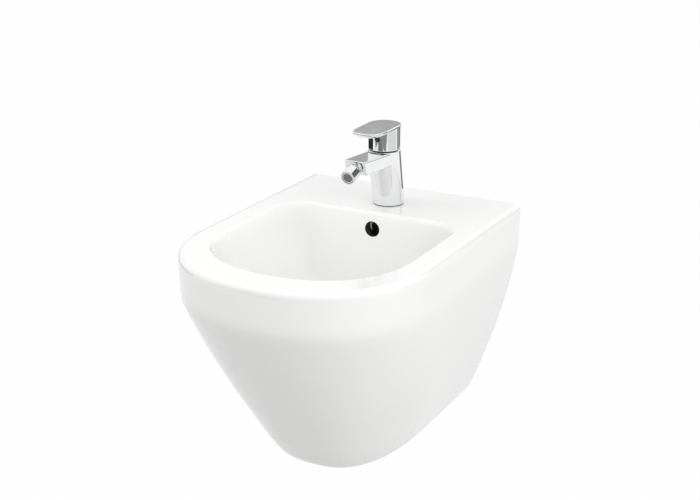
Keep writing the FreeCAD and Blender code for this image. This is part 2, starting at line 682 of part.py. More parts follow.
def make_turret():
    barrel = "neck_bore / 2 - turret_clearance"
    flange_top = TURRET_LOW + " + turret_flange_thickness"
    top = "ring_seat + neck_height + turret_rise"
    blank = turned("turret_blank", "cartridge", [
        ("0", TURRET_LOW), ("turret_flange / 2", TURRET_LOW), ("turret_flange / 2", flange_top),
        (barrel, flange_top), (barrel, top), ("0", top)])
    half = "stem_width / 2 + stem_clearance"
    slot = box("turret_slot", [("-(%s)" % half, half), ("-turret_slot_front", "turret_slot_back"),
                               (TURRET_LOW + " - cut_overrun", top + " + cut_overrun")], "cartridge")
    hole = cylinder("turret_pin_hole", "pin_diameter", "neck_bore", "cartridge",
                    ("-neck_bore / 2", "0", "pivot_height"), ALONG_X)
    node(cut("turret", blank, [slot, hole]), "turret")
    pin = cylinder("pivot_pin", "pin_diameter", "pin_length", "cartridge",
                   ("-pin_length / 2", "0", "pivot_height"), ALONG_X)
    node(pin, "pivot_pin")


def make_stem():
    half = "stem_width / 2"
    wide = ("-" + half, half)
    bar = box("stem_bar", [wide, wide, ("stem_neck_top", "stem_top")], "cartridge")
    neck = box("stem_waist", [wide, ("-stem_neck / 2", "stem_neck / 2"),
                              ("stem_tail_height", "stem_neck_top")], "cartridge")
    tail = cylinder("stem_tail", "stem_tail_diameter", "stem_width", "cartridge",
                    ("-" + half, "0", "stem_tail_height"), ALONG_X)
    hole = cylinder("stem_pin_hole", "pin_diameter + pin_play", "neck_bore", "cartridge",
                    ("-neck_bore / 2", "0", "pivot_height"), ALONG_X)
    node(cut("lever_stem", fuse("stem_blank", [bar, neck, tail]), [hole]), "lever_stem")


def make_ring_nut():
    top = "ring_seat + ring_nut_height"
    blank = ring("ring_nut_blank", "cartridge", "ring_bore - 2 * ring_clearance", "ring_nut_bore",
                 "ring_seat", top)
    half = "ring_slot_width / 2"
    deep = (top + " - ring_slot_depth", top + " + cut_overrun")
    slots = [
        box("ring_slot", [("-ring_bore", "ring_bore"), ("-" + half, half), deep], "cartridge"),
        box("ring_slot", [("-" + half, half), ("-ring_bore", "ring_bore"), deep], "cartridge"),
    ]
    node(cut("cartridge_nut", blank, slots), "cartridge_nut")
    slip = ring("slip_ring", "cartridge", "slip_diameter", "slip_bore", "column_height",
                "column_height + slip_thickness")
    node(slip, "slip_ring")


# Handle: round cap with a broad flat lever, clamped on the stem by a grub screw

def leaf_wire(inset, level):
    # Round back about the cap, straight sides and a broad full nose
    half = size("leaf_back_radius") - inset
    shoulder = size("leaf_straight")
    height = size("leaf_top") + level

    def at(x, y):
        return Vector(x, y, height)

    tail = Part.Arc(at(-half, 0), at(0, half), at(half, 0)).toShape()
    right = Part.makeLine(at(half, 0), at(half, -shoulder))
    nose = front_curve(height, half, shoulder, size("leaf_reach") - inset, LEAF_ROUND_SHARE)
    left = Part.makeLine(at(-half, -shoulder), at(-half, 0))
    return Part.Wire([tail, right, nose, left])


def leaf_form():
    # Flat top, thin edge and a belly that is thickest along the middle
    edge = size("leaf_edge")
    top = Part.Face(leaf_wire(0, 0)).extrude(Vector(0, 0, -edge))
    keel = leaf_wire(size("leaf_belly_inset"), -size("leaf_thickness"))
    belly = Part.makeLoft([leaf_wire(0, -edge), keel], True, True)
    return top.fuse(belly).removeSplitter()


def relief_form():
    # Wedge cut from the skirt behind the pin, so that the cap can tip back when the lever is lifted
    low = amount("column_height + slip_thickness + handle_gap")
    wide = size("drum_diameter")
    climb = wide * math.tan(math.radians(LIFT_RELIEF))
    corners = [(0, low), (wide, low + climb), (wide, low - wide), (0, low - wide), (0, low)]
    side = Part.Face(Part.makePolygon([Vector(-wide, y, z) for y, z in corners]))
    return side.extrude(Vector(2 * wide, 0, 0))


def make_handle():
    low = "column_height + slip_thickness + handle_gap"
    leaf = set_place(solid("leaf", leaf_form()), "cartridge")
    drum = cylinder("drum", "drum_diameter", "drum_top - (%s)" % low, "cartridge", ("0", "0", low))
    deep = "drum_ceiling - (%s) + cut_overrun" % low
    hollow = cylinder("drum_hollow", "drum_diameter - 2 * drum_wall", deep, "cartridge",
                      ("0", "0", low + " - cut_overrun"))
    relief = set_place(solid("drum_relief", relief_form()), "cartridge")
    cap = cut("handle_cap", fuse("handle_blank", [leaf, drum]), [hollow, relief])
    wide = ("-hub_width / 2", "hub_width / 2")
    hub = box("hub", [wide, wide, ("hub_bottom", "drum_ceiling + drum_wall")], "cartridge")
    half = "stem_width / 2 + hub_play"
    square = box("hub_square", [("-(%s)" % half, half), ("-(%s)" % half, half),
                                ("hub_bottom - cut_overrun", "stem_top + stem_top_play")], "cartridge")
    screw_way = cylinder("screw_way", "screw_diameter", "drum_diameter / 2", "cartridge",
                         ("0", "0", "index_height"), TO_FRONT)
    seat = ("0", "index_thickness - drum_diameter / 2", "index_height")
    plug_way = cylinder("plug_way", "index_diameter", "index_thickness + cut_overrun", "cartridge", seat,
                        TO_FRONT)
    handle = cut("lever_handle", fuse("handle_form", [cap, hub]), [square, screw_way, plug_way])
    node(handle, "lever_handle")
    screw = cylinder("handle_screw", "screw_diameter", "screw_length", "cartridge",
                     ("0", "-stem_width / 2", "index_height"), TO_FRONT)
    node(screw, "handle_screw")
    # The plug's outer face follows the cap's round side
    blank = cylinder("index_blank", "index_diameter", "index_thickness", "cartridge", seat, TO_FRONT)
    skin = cylinder("index_skin", "drum_diameter", "index_diameter + 2 * cut_overrun", "cartridge",
                    ("0", "0", "index_height - index_diameter / 2 - cut_overrun"))
    plug = doc.addObject("Part::Common", "index_plug")
    plug.Base = blank
    plug.Tool = skin
    node(plug, "index_plug")


# Swivel nozzle, set out along its own axis from the spout's front face

def nozzle_piece(name, shape):
    obj = solid(name, shape)
    obj.Placement = nozzle_placement()
    return node(obj, name)


def upright(diameter, low, high):
    return Part.makeCylinder(diameter / 2, high - low, Vector(0, 0, low))


def make_nozzle():
    centre = size("ball_centre")
    middle = Vector(0, 0, centre)
    ball = size("ball_diameter") / 2
    shank_end = size("nipple_seal_thickness") - size("socket_depth")
    over = size("cut_overrun")
    nipple = upright(size("socket_diameter"), shank_end, 0)
    nipple = nipple.fuse([upright(size("nipple_flange"), 0, size("nipple_flange_thickness")),
                          upright(size("nipple_neck"), 0, centre), Part.makeSphere(ball, middle)])
    way = upright(size("nipple_bore"), shank_end - over, centre + ball + over)
    nozzle_piece("ball_nipple", nipple.cut(way))
    seal = upright(size("socket_diameter"), -size("socket_depth"), shank_end)
    nozzle_piece("nipple_seal", seal.cut(upright(size("nipple_seal_bore"), -size("socket_depth"), shank_end)))

    inner = ball + size("ball_clearance")
    outer = inner + size("liner_thickness")
    zone = upright(size("nozzle_diameter"), centre - size("liner_rear"), centre + size("liner_front"))
    liner = Part.makeSphere(outer, middle).cut(Part.makeSphere(inner, middle)).common(zone)
    nozzle_piece("ball_liner", liner)

    rear = centre - size("nozzle_rear")
    end = rear + size("nozzle_length")
    sleeve = upright(size("nozzle_diameter"), rear, end)
    rear_rim = [edge for edge in sleeve.Edges if edge.Closed and edge.CenterOfMass.z < centre]
    sleeve = sleeve.makeChamfer(size("nozzle_edge"), rear_rim)
    hollow = upright(size("nozzle_bore"), centre, end + over)
    seat = Part.makeSphere(outer + size("ball_clearance"), middle)
    nozzle_piece("nozzle_sleeve", sleeve.cut(hollow).cut(seat))

    seal_low = centre + size("nozzle_seal_ahead")
    seal_high = seal_low + size("nozzle_seal_thickness")
    bore = size("nozzle_bore")
    nozzle_piece("nozzle_seal", upright(bore, seal_low, seal_high).cut(
        upright(size("nozzle_seal_bore"), seal_low - over, seal_high + over)))
    front = end - size("aerator_recess")
    plate = front - size("aerator_plate")
    insert = upright(bore, seal_high, front).cut(
        upright(bore - 2 * size("aerator_wall"), seal_high - over, plate))
    jets = []
    for rings_out, count in enumerate(JET_COUNTS):
        for turn in range(count):
            angle = 2 * math.pi * turn / count
            out = rings_out * size("jet_pitch")
            at = Vector(out * math.cos(angle), out * math.sin(angle), plate - over)
            jets.append(Part.makeCylinder(size("jet_diameter") / 2, front - plate + 2 * over, at))
    nozzle_piece("aerator", insert.cut(jets))


# Waste with push-open plug, heights from the bowl's floor

SEAL_TOP = "waste_seal_thickness - seat_depth"
FLANGE_TOP = SEAL_TOP + " + flange_thickness"
STEP = FLANGE_TOP + " - flange_step_depth"


def make_waste():
    low = "-waste_length"
    tube = "waste_tube / 2"
    bore = "waste_bore / 2"
    relief = tube + " - relief_depth"
    tail_top = low + " + tail_length"
    thread_low = tail_top + " + relief_width"
    shell = turned("waste_shell", "waste", [
        (bore, low), (tube, low), (tube, tail_top), (relief, tail_top), (relief, thread_low),
        (tube, thread_low), (tube, SEAL_TOP), ("flange_diameter / 2", SEAL_TOP),
        ("flange_diameter / 2", FLANGE_TOP), ("flange_step / 2", FLANGE_TOP), (bore, STEP)])
    bar_deep = ("-bridge_level - bridge_height / 2", "bridge_height / 2 - bridge_level")
    across = box("waste_bar", [("-(waste_bore + waste_tube) / 4", "(waste_bore + waste_tube) / 4"),
                               ("-bridge_width / 2", "bridge_width / 2"), bar_deep], "waste")
    boss_low = "-bridge_level - boss_height / 2"
    boss = cylinder("waste_boss", "boss_diameter", "boss_height", "waste", ("0", "0", boss_low))
    hole = cylinder("waste_boss_hole", "click_spigot", "boss_height + 2 * cut_overrun", "waste",
                    ("0", "0", boss_low + " - cut_overrun"))
    slot_deep = ("-overflow_level - slot_height / 2", "slot_height / 2 - overflow_level")
    slot_wide = ("-slot_width / 2", "slot_width / 2")
    slots = box("waste_slots", [slot_wide, ("-waste_tube", "waste_tube"), slot_deep], "waste")
    node(cut("waste_body", fuse("waste_blank", [shell, across, boss]), [hole, slots]), "waste_body")
    node(ring("waste_top_seal", "waste", "waste_seal_diameter", "waste_seal_bore", "-seat_depth", SEAL_TOP),
         "waste_top_seal")
    under = "-collar_height - under_seal_thickness"
    node(ring("waste_bottom_seal", "waste", "under_seal_diameter", "waste_tube", under, "-collar_height"),
         "waste_bottom_seal")
    node(hexagon("waste_nut", "waste", "back_nut_flats", "waste_tube + 2 * thread_clearance",
                 under + " - back_nut_thickness", "back_nut_thickness"), "waste_nut")


def make_plug():
    spigot_low = "-bridge_level - boss_height / 2"
    boss_top = "boss_height / 2 - bridge_level"
    click_top = boss_top + " + click_height"
    bore = "click_bore / 2"
    node(turned("click_housing", "waste", [
        ("0", spigot_low), ("click_spigot / 2", spigot_low), ("click_spigot / 2", boss_top),
        ("click_diameter / 2", boss_top), ("click_diameter / 2", click_top), (bore, click_top),
        (bore, spigot_low + " + click_floor"), ("0", spigot_low + " + click_floor")]), "click_housing")
    spring_low = spigot_low + " + click_floor"
    spring_top = spring_low + " + spring_height"
    spring_outside = "click_bore - 2 * spring_play"
    node(ring("plug_spring", "waste", spring_outside, spring_outside + " - 2 * spring_wall", spring_low,
              spring_top), "plug_spring")
    rim_low = FLANGE_TOP + " + plug_seat_gap"
    rim_top = rim_low + " + plug_rim"
    stem_top = rim_low + " - plug_boss_depth + plug_socket"
    stem = cylinder("plug_stem", "click_bore - 2 * stem_play", "%s - (%s)" % (stem_top, spring_top), "waste",
                    ("0", "0", spring_top))
    node(stem, "plug_stem")
    boss = "plug_boss / 2"
    socket = "click_bore / 2 - stem_play"
    node(turned("plug_cap", "waste", [
        (socket, rim_low + " - plug_boss_depth"), (boss, rim_low + " - plug_boss_depth"), (boss, rim_low),
        ("plug_diameter / 2", rim_low), ("plug_diameter / 2", rim_low + " + plug_rim / 2"),
        ("plug_diameter / 2 - plug_rim", rim_top), (boss, rim_top + " + plug_crown / 2"),
        ("0", rim_top + " + plug_crown"), ("0", stem_top), (socket, stem_top)]), "plug_cap")
    node(turned("plug_seal", "waste", [
        (boss, STEP + " + plug_seat_gap"), ("plug_seal_width / 2", FLANGE_TOP),
        ("plug_seal_width / 2", rim_low), (boss, rim_low)]), "plug_seal")


make_ceramic()
make_wall_fixings()
make_mixer_body()
make_inlet_block()
make_clamp()
make_cartridge_discs()
make_cartridge_housing()
make_turret()
make_stem()
make_ring_nut()
make_handle()
make_nozzle()
make_waste()
make_plug()
doc.recompute()

faults = [obj.Name for obj in doc.Objects if "Invalid" in obj.State or "Error" in obj.State]
for obj in NODES:
    shape = obj.Shape
    if shape.isNull() or not shape.isValid() or not shape.Solids:
        faults.append(obj.Label)
if faults:
    raise RuntimeError("failed: " + ", ".join(faults))

os.makedirs("parts", exist_ok=True)
for obj in NODES:
    obj.Shape.exportStep(os.path.join("parts", obj.Label + ".step"))
    print(obj.Label, len(obj.Shape.Solids), "solids, volume", round(obj.Shape.Volume, 1))
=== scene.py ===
import json
import math

import bmesh
import bpy
from mathutils import Matrix, Vector
from mathutils.bvhtree import BVHTree


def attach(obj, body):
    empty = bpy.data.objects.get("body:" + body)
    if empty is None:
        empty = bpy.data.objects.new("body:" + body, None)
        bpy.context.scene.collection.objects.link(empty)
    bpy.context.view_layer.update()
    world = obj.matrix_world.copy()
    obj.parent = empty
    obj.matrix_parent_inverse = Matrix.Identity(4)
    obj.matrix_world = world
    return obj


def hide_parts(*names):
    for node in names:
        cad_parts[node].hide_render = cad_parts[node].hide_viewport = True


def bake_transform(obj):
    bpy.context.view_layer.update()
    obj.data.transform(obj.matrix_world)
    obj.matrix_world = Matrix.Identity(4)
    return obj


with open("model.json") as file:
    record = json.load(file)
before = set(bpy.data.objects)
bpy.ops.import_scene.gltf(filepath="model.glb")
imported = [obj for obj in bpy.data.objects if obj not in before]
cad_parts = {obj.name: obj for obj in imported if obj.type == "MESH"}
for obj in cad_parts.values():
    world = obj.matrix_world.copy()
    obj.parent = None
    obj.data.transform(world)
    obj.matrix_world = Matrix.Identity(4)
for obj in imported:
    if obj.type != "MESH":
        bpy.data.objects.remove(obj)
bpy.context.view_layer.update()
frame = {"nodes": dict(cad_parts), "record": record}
cadNodes = frame["nodes"]
bodies = frame["record"]["behaviour"]["bodies"]
bodyOf = {node: body for body, nodes in bodies.items() for node in nodes}
scene = bpy.context.scene
scene.view_settings.view_transform = "Standard"
print("frame loaded,", len(cadNodes), "nodes")


# Camera at the photograph's angle
photoView = {"azimuth": 28.162, "elevation": 19.327, "lens": 68.677, "sensor": 36.0,
             "place": (0.8612, -1.8174, 0.6916)}


def setCamera(view):
    turn, rise = math.radians(view["azimuth"]), math.radians(view["elevation"])
    level = math.cos(rise)
    back = Vector((math.sin(turn) * level, -math.cos(turn) * level, math.sin(rise)))
    data = bpy.data.cameras.new("photoCamera")
    data.sensor_width = view["sensor"]
    data.lens = view["lens"]
    camera = bpy.data.objects.new("photoCamera", data)
    scene.collection.objects.link(camera)
    camera.location = view["place"]
    camera.rotation_mode = "QUATERNION"
    camera.rotation_quaternion = (-back).to_track_quat("-Z", "Y")
    scene.camera = camera


setCamera(photoView)
print("camera set")


# Small helpers for node trees; a noise keeps to the middle part of its range
noiseSpan = (0.3, 0.7)


def startMaterial(name):
    material = bpy.data.materials.new(name)
    material.use_nodes = True
    return material, material.node_tree, material.node_tree.nodes["Principled BSDF"]


def place(tree, kind, **settings):
    node = tree.nodes.new(kind)
    for name, value in settings.items():
        setattr(node, name, value)
    return node


def noise(tree, scale, detail, stretch=(1.0, 1.0, 1.0)):
    coords = place(tree, "ShaderNodeTexCoord")
    mapping = place(tree, "ShaderNodeMapping")
    mapping.inputs["Scale"].default_value = stretch
    texture = place(tree, "ShaderNodeTexNoise")
    texture.inputs["Scale"].default_value = scale
    texture.inputs["Detail"].default_value = detail
    tree.links.new(coords.outputs["Object"], mapping.inputs["Vector"])
    tree.links.new(mapping.outputs["Vector"], texture.inputs["Vector"])
    return texture.outputs["Fac"]


def spread(tree, source, low, high):
    reach = place(tree, "ShaderNodeMapRange", clamp=True)
    sockets = ("From Min", "From Max", "To Min", "To Max")
    for socket, value in zip(sockets, (*noiseSpan, low, high)):
        reach.inputs[socket].default_value = value
    tree.links.new(source, reach.inputs["Value"])
    return reach.outputs["Result"]


def tint(tree, source, dark, light):
    ramp = place(tree, "ShaderNodeValToRGB")
    for i, colour in enumerate((dark, light)):
        ramp.color_ramp.elements[i].position = noiseSpan[i]
        ramp.color_ramp.elements[i].color = (*colour, 1.0)
    tree.links.new(source, ramp.inputs["Fac"])
    return ramp.outputs["Color"]


def relief(tree, shader, source, strength, depth):
    bump = place(tree, "ShaderNodeBump")
    bump.inputs["Strength"].default_value = strength
    bump.inputs["Distance"].default_value = depth
    tree.links.new(source, bump.inputs["Height"])
    tree.links.new(bump.outputs["Normal"], shader.inputs["Normal"])


# Finishes, all on Object coordinates in metres
def fireGlaze():
    look = {"light": (0.922, 0.922, 0.915), "dark": (0.910, 0.910, 0.903), "gloss": (0.07, 0.13),
            "coat": 0.25, "coatRough": 0.04, "cloudScale": 9.0, "cloudDetail": 4.0,
            "peelScale": 120.0, "peelDetail": 1.5, "peel": 0.035, "peelDepth": 0.0004}
    material, tree, shader = startMaterial("whiteGlaze")
    cloud = noise(tree, look["cloudScale"], look["cloudDetail"])
    peel = noise(tree, look["peelScale"], look["peelDetail"])
    tree.links.new(tint(tree, cloud, look["dark"], look["light"]), shader.inputs["Base Color"])
    tree.links.new(spread(tree, cloud, *look["gloss"]), shader.inputs["Roughness"])
    shader.inputs["Coat Weight"].default_value = look["coat"]
    shader.inputs["Coat Roughness"].default_value = look["coatRough"]
    relief(tree, shader, peel, look["peel"], look["peelDepth"])
    return material


def fireBiscuit():
    look = {"light": (0.80, 0.785, 0.755), "dark": (0.70, 0.68, 0.64), "rough": (0.62, 0.85),
            "cloudScale": 14.0, "cloudDetail": 6.0,
            "grainScale": 900.0, "grainDetail": 2.0, "grain": 0.25, "grainDepth": 0.0004}
    material, tree, shader = startMaterial("rawBiscuit")
    cloud = noise(tree, look["cloudScale"], look["cloudDetail"])
    grain = noise(tree, look["grainScale"], look["grainDetail"])
    tree.links.new(tint(tree, cloud, look["dark"], look["light"]), shader.inputs["Base Color"])
    tree.links.new(spread(tree, grain, *look["rough"]), shader.inputs["Roughness"])
    relief(tree, shader, grain, look["grain"], look["grainDepth"])
    return material


def plateChrome():
    look = {"light": (0.90, 0.905, 0.91), "dark": (0.86, 0.866, 0.872), "gloss": (0.035, 0.075),
            "hazeScale": 70.0, "hazeDetail": 5.0,
            "waveScale": 55.0, "waveDetail": 1.0, "wave": 0.02, "waveDepth": 0.0003}
    material, tree, shader = startMaterial("polishedChrome")
    haze = noise(tree, look["hazeScale"], look["hazeDetail"])
    wave = noise(tree, look["waveScale"], look["waveDetail"])
    shader.inputs["Metallic"].default_value = 1.0
    tree.links.new(tint(tree, haze, look["dark"], look["light"]), shader.inputs["Base Color"])
    tree.links.new(spread(tree, haze, *look["gloss"]), shader.inputs["Roughness"])
    relief(tree, shader, wave, look["wave"], look["waveDepth"])
    return material


def turnMetal(name, light, dark, rough, grooveScale):
    look = {"stretch": (1.0, 1.0, 40.0), "grooveDetail": 2.0, "groove": 0.12, "grooveDepth": 0.0002,
            "spotScale": 160.0, "spotDetail": 4.0}
    material, tree, shader = startMaterial(name)
    grooves = noise(tree, grooveScale, look["grooveDetail"], look["stretch"])
    spots = noise(tree, look["spotScale"], look["spotDetail"])
    shader.inputs["Metallic"].default_value = 1.0
    tree.links.new(tint(tree, spots, dark, light), shader.inputs["Base Color"])
    tree.links.new(spread(tree, grooves, *rough), shader.inputs["Roughness"])
    relief(tree, shader, grooves, look["groove"], look["grooveDepth"])
    return material


def mouldPlastic(name, light, dark, rough, grainScale=1400.0, grain=0.12):
    look = {"cloudScale": 45.0, "cloudDetail": 3.0, "grainDetail": 2.0, "grainDepth": 0.00025}
    material, tree, shader = startMaterial(name)
    cloud = noise(tree, look["cloudScale"], look["cloudDetail"])
    texture = noise(tree, grainScale, look["grainDetail"])
    tree.links.new(tint(tree, cloud, dark, light), shader.inputs["Base Color"])
    tree.links.new(spread(tree, texture, *rough), shader.inputs["Roughness"])
    relief(tree, shader, texture, grain, look["grainDepth"])
    return material


# One finish for each slot of the record, and three more for hidden faces; the duct one is
# near-black painted shade
finishes = {
    "glaze": fireGlaze(),
    "biscuit": fireBiscuit(),
    # Painted shade: near-black raw china stands in for the shade deep inside the overflow duct
    "ductShade": mouldPlastic("paintedShadeBiscuit", (0.045, 0.042, 0.038), (0.020, 0.019, 0.018),
                         (0.7, 0.9), 700.0, 0.3),
    "chrome": plateChrome(),
    "brass": turnMetal("turnedBrass", (0.72, 0.54, 0.27), (0.60, 0.43, 0.20), (0.22, 0.36), 60.0),
    "zinc": turnMetal("castZinc", (0.50, 0.51, 0.52), (0.42, 0.43, 0.44), (0.38, 0.55), 30.0),
    "steel": turnMetal("zincPlatedSteel", (0.62, 0.63, 0.65), (0.50, 0.51, 0.52),
                       (0.24, 0.38), 80.0),
    "rubber": mouldPlastic("mattRubber", (0.035, 0.035, 0.036), (0.022, 0.022, 0.023),
                           (0.62, 0.80)),
    "black_plastic": mouldPlastic("blackPlastic", (0.030, 0.031, 0.033), (0.018, 0.018, 0.020),
                                  (0.30, 0.42)),
    "grey_plastic": mouldPlastic("greyPlastic", (0.24, 0.245, 0.25), (0.19, 0.195, 0.20),
                                 (0.34, 0.48)),
    "white_plastic": mouldPlastic("whitePlastic", (0.80, 0.80, 0.78), (0.75, 0.75, 0.73),
                                  (0.34, 0.46)),
    "disc_ceramic": mouldPlastic("lappedCeramic", (0.80, 0.76, 0.70), (0.74, 0.70, 0.63),
                                 (0.12, 0.2), 2600.0, 0.03),
}
print("finishes made,", len(finishes))


# Merged copy of a CAD node, with its flat faces joined again
meshing = {"merge": 2e-6, "flat": 0.2, "sharp": 32.0, "bevelSteps": 3}


def copyNode(node, join=True):
    shape = bmesh.new()
    shape.from_mesh(cadNodes[node].data)
    bmesh.ops.remove_doubles(shape, verts=shape.verts, dist=meshing["merge"])
    if join:
        bmesh.ops.dissolve_limit(shape, angle_limit=math.radians(meshing["flat"]),
                                 verts=shape.verts, edges=shape.edges)
    return shape


def finishPiece(name, shape, body, materials, nodes, edge=0.0, sharp=meshing["sharp"]):
    mesh = bpy.data.meshes.new(name)
    for face in shape.faces:
        face.smooth = True
    shape.normal_update()
    for line in shape.edges:
        line.smooth = line.calc_face_angle(0.0) < math.radians(sharp)
    shape.to_mesh(mesh)
    shape.free()
    # The CAD copy's own normals would bend the shading
    if "custom_normal" in mesh.attributes:
        mesh.attributes.remove(mesh.attributes["custom_normal"])
    for material in materials:
        mesh.materials.append(finishes[material])
    piece = bpy.data.objects.new(name, mesh)
    scene.collection.objects.link(piece)
    if edge:
        rounding = piece.modifiers.new("softEdges", "BEVEL")
        rounding.width = edge
        rounding.segments = meshing["bevelSteps"]
        rounding.limit_method = "ANGLE"
        rounding.angle_limit = math.radians(sharp)
        rounding.use_clamp_overlap = False
        rounding.harden_normals = True
    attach(piece, body)
    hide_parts(*nodes)
    return piece


# China: the glaze runs from the rim over every soft edge, the rest stays raw, and raw faces deep in
# the overflow duct get painted shade
chinaBody = {"softEdge": 38.0, "rimLevel": 0.09, "floorLevel": -0.06, "baseLevel": -0.248,
             "rimReach": 1e-4, "levelReach": 1e-5, "start": (0.165, -0.20),
             "ductLow": (-0.0125, -0.160, -0.10), "ductHigh": (0.0125, -0.105, 0.078),
             "ductWide": 0.028, "rayLift": 1e-5}


def spreadGlaze(shape, china):
    # Faces reached from the rim without crossing a sharp edge
    soft = math.radians(china["softEdge"])
    middles = {face: face.calc_center_median() for face in shape.faces}
    onRim = [face for face in shape.faces
             if abs(middles[face].z - china["rimLevel"]) < china["rimReach"]]
    start = min(onRim, key=lambda face: (middles[face].xy - Vector(china["start"])).length)
    glazed, waiting = {start}, [start]
    while waiting:
        for edge in waiting.pop().edges:
            if len(edge.link_faces) == 2 and edge.calc_face_angle() < soft:
                for other in edge.link_faces:
                    if other not in glazed:
                        glazed.add(other)
                        waiting.append(other)
    return glazed


def flattenShading(mesh, china):
    # Level planes keep a straight normal up to their soft edges
    planes = [(china["rimLevel"], 1), (china["floorLevel"], 1), (china["baseLevel"], -1)]
    flat = math.cos(math.radians(china["softEdge"]))
    normals = [corner.vector.copy() for corner in mesh.corner_normals]
    for face in mesh.polygons:
        for corner in face.loop_indices:
            height = mesh.vertices[mesh.loops[corner].vertex_index].co.z
            for level, up in planes:
                if abs(height - level) < china["levelReach"] and face.normal.z * up > flat:
                    normals[corner] = Vector((0, 0, up))
    mesh.normals_split_custom_set(normals)


def makeChina(china):
    shape = copyNode("ceramic_body", join=False)
    glazed = spreadGlaze(shape, china)
    tree = BVHTree.FromBMesh(shape)
    for face in shape.faces:
        middle = face.calc_center_median()
        raw = face not in glazed
        face.material_index = 1 if raw else 0
        # Raw faces inside the duct box that face another wall close by get the painted-shade finish
        near = all(low < at < high
                   for low, at, high in zip(china["ductLow"], middle, china["ductHigh"]))
        above = middle + face.normal * china["rayLift"]
        if raw and near and tree.ray_cast(above, face.normal, china["ductWide"])[0]:
            face.material_index = 2
    print("china glazed,", len(glazed), "of", len(shape.faces), "faces")
    piece = finishPiece("chinaBody", shape, "fixture", ["glaze", "biscuit", "ductShade"],
                        ["ceramic_body"], sharp=china["softEdge"])
    flattenShading(piece.data, china)


makeChina(chinaBody)


# Plated castings, drawn ring by ring with close rings beside each soft edge
def between(first, last, share):
    return first + (last - first) * share


def stackRings(shape, rings, inside=0, loop=False):
    rows = [[shape.verts.new(point) for point in ring] for ring in rings]
    following = rows[1:] + rows[:1] if loop else rows[1:]
    for step, (low, high) in enumerate(zip(rows, following)):
        for i in range(len(low)):
            j = (i + 1) % len(low)
            face = shape.faces.new((low[i], low[j], high[j], high[i]))
            face.material_index = 1 if step < inside else 0
    if not loop:
        shape.faces.new(list(reversed(rows[0]))).material_index = 1 if inside else 0
        shape.faces.new(rows[-1])


def softProfile(points, soft, steps=4, support=2):
    points = [Vector(point) for point in points]
    profile = [points[0]]
    for before, corner, after in zip(points, points[1:], points[2:]):
        back, ahead = (before - corner).normalized() * soft, (after - corner).normalized() * soft
        profile.append(corner + back * support)
        for i in range(steps + 1):
            share = i / steps
            profile.append(corner + back * (1 - share) ** 2 + ahead * share ** 2)
        profile.append(corner + ahead * support)
    return profile + [points[-1]]


def ringAbout(centre, along, radius, steps=96):
    along = Vector(along).normalized()
    across = Vector((1, 0, 0))
    side = along.cross(across)
    turns = [2 * math.pi * i / steps for i in range(steps)]
    return [Vector(centre) + (across * math.cos(turn) + side * math.sin(turn)) * radius
            for turn in turns]


# Mixer: a leaning column, and a wedge spout that starts inside the column's wall
mixer = {"footY": -0.085, "headY": -0.101, "low": 0.0912, "high": 0.177,
         "footRadius": 0.02375, "headRadius": 0.024, "edge": 0.0007,
         "cavityY": -0.087, "cavityRadius": 0.0174, "boreRadius": 0.0172,
         "rootY": -0.101, "tipY": -0.195, "rootHalf": 0.018, "tipHalf": 0.0165,
         "rootLow": 0.156, "tipLow": 0.1605, "rootHigh": 0.175, "tipHigh": 0.1815,
         "faceLean": 16.5, "hidden": 0.0205,
         "corner": 0.0013, "cornerLoss": 0.6, "cornerLeast": 0.0004, "cornerSteps": 5,
         "faceEdge": 0.0010, "noseShares": ((2, 0), (1, 0), (0.55, 0.1), (0.29, 0.29),
                                            (0.1, 0.55), (0, 1), (0, 2))}


def spoutRing(form, back, inset):
    # A rounded oblong; back is its distance from the end face, None at the root
    steps = form["cornerSteps"]
    lean = math.tan(math.radians(form["faceLean"]))

    def section(turn, step, y):
        share = (form["rootY"] - y) / (form["rootY"] - form["tipY"])
        half = between(form["rootHalf"], form["tipHalf"], share) - inset
        low = between(form["rootLow"], form["tipLow"], share) + inset
        high = between(form["rootHigh"], form["tipHigh"], share) - inset
        corner = max(form["corner"] - inset * form["cornerLoss"], form["cornerLeast"])
        angle = math.radians(turn + 90 * min(max(step, 0), steps) / steps)
        right, up = turn in (0, 270), turn in (0, 90)
        x = (half - corner if right else corner - half) + corner * math.cos(angle)
        z = (high - corner if up else low + corner) + corner * math.sin(angle)
        lead = corner * (1 if step < 0 else -1 if step > steps else 0)
        return x + lead * math.sin(angle), z - lead * math.cos(angle)

    ring = []
    for turn in (0, 90, 180, 270):
        for step in range(-1, steps + 2):
            if back is None:
                x, z = section(turn, step, form["rootY"] - form["hidden"])
                y = form["rootY"] - math.sqrt(form["hidden"] ** 2 - x ** 2)
            else:
                x, z = section(turn, step, form["tipY"])
                y = form["tipY"] + (form["tipHigh"] - z) * lean + back
            x, z = section(turn, step, y)
            ring.append(Vector((x, y, z)))
    return ring


def makeMixer(form):
    shape = bmesh.new()
    low, high, soft = form["low"], form["high"], form["faceEdge"]

    def columnRing(inset, level):
        share = (level - low) / (high - low)
        y = between(form["footY"], form["headY"], share)
        radius = between(form["footRadius"], form["headRadius"], share) - inset
        return ringAbout((0, y, level), (0, 0, 1), radius)

    bore = [ringAbout((0, form["headY"], high), (0, 0, 1), form["boreRadius"]),
            ringAbout((0, form["cavityY"], low), (0, 0, 1), form["cavityRadius"])]
    wall = form["footRadius"] - form["cavityRadius"]
    outside = softProfile([(wall, low), (0, low), (0, high), (wall, high)], form["edge"])
    column = bore + [columnRing(*point) for point in outside[1:-1]]
    stackRings(shape, column, inside=1, loop=True)
    nose = [spoutRing(form, back * soft, inset * soft) for back, inset in form["noseShares"]]
    stackRings(shape, [spoutRing(form, None, 0)] + nose)
    finishPiece("mixerCasting", shape, "fixture", ["chrome", "brass"], ["mixer_body"])


makeMixer(mixer)


